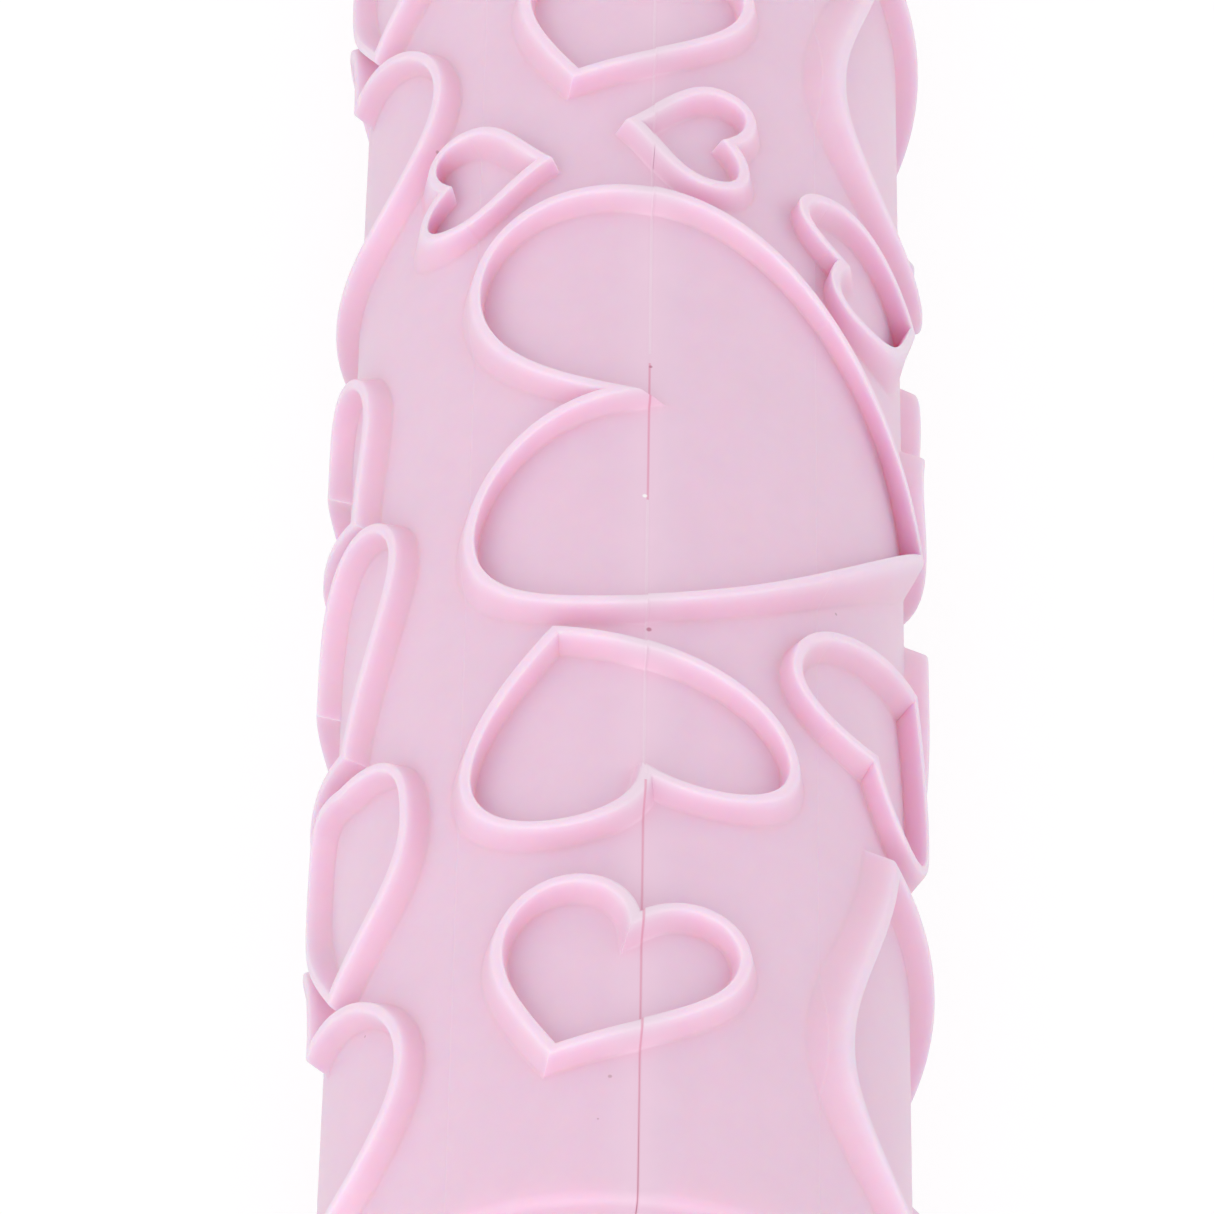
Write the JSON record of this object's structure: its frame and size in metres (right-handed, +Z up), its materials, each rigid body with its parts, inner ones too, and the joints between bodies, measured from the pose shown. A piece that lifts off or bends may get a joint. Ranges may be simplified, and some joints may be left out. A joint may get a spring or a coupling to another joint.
{
  "type": "embossed rolling pin",
  "caption": "Rolling pin with a hollow moulded barrel carrying raised heart outlines, turning on a steel axle between two turned grips.",
  "frame": {"origin": "middle of the pin, on the axis of the barrel and the axle", "axes": "+X along the pin towards the near handle, +Y towards the right half shell, +Z up through the top seam"},
  "size_m": [0.3812, 0.049, 0.049],
  "materials": {
    "pink_plastic": "satin moulded, pale pink",
    "grip_plastic": "satin moulded, pale pink",
    "cap_plastic": "satin moulded, slightly deeper pink",
    "nylon": "natural white nylon",
    "bright_steel": "drawn bright rod",
    "zinc_steel": "zinc plated"
  },
  "bodies": {
    "handles": {"axle_rod": "bright_steel", "handle_grip_near": "grip_plastic", "handle_grip_far": "grip_plastic", "thrust_washer_near": "zinc_steel", "thrust_washer_far": "zinc_steel", "clamp_washer_near": "zinc_steel", "clamp_washer_far": "zinc_steel", "lock_nut_near": "zinc_steel", "lock_nut_far": "zinc_steel", "handle_end_plug_near": "grip_plastic", "handle_end_plug_far": "grip_plastic"},
    "barrel": {"barrel_half_left": "pink_plastic", "barrel_half_right": "pink_plastic", "barrel_end_cap_near": "cap_plastic", "barrel_end_cap_far": "cap_plastic", "bearing_bush_near": "nylon", "bearing_bush_far": "nylon"}
  },
  "joints": [
    {"name": "barrel_spin", "type": "hinge", "parent": "handles", "child": "barrel", "pos_m": [0, 0, 0], "axis": [1, 0, 0], "continuous": true}
  ]
}
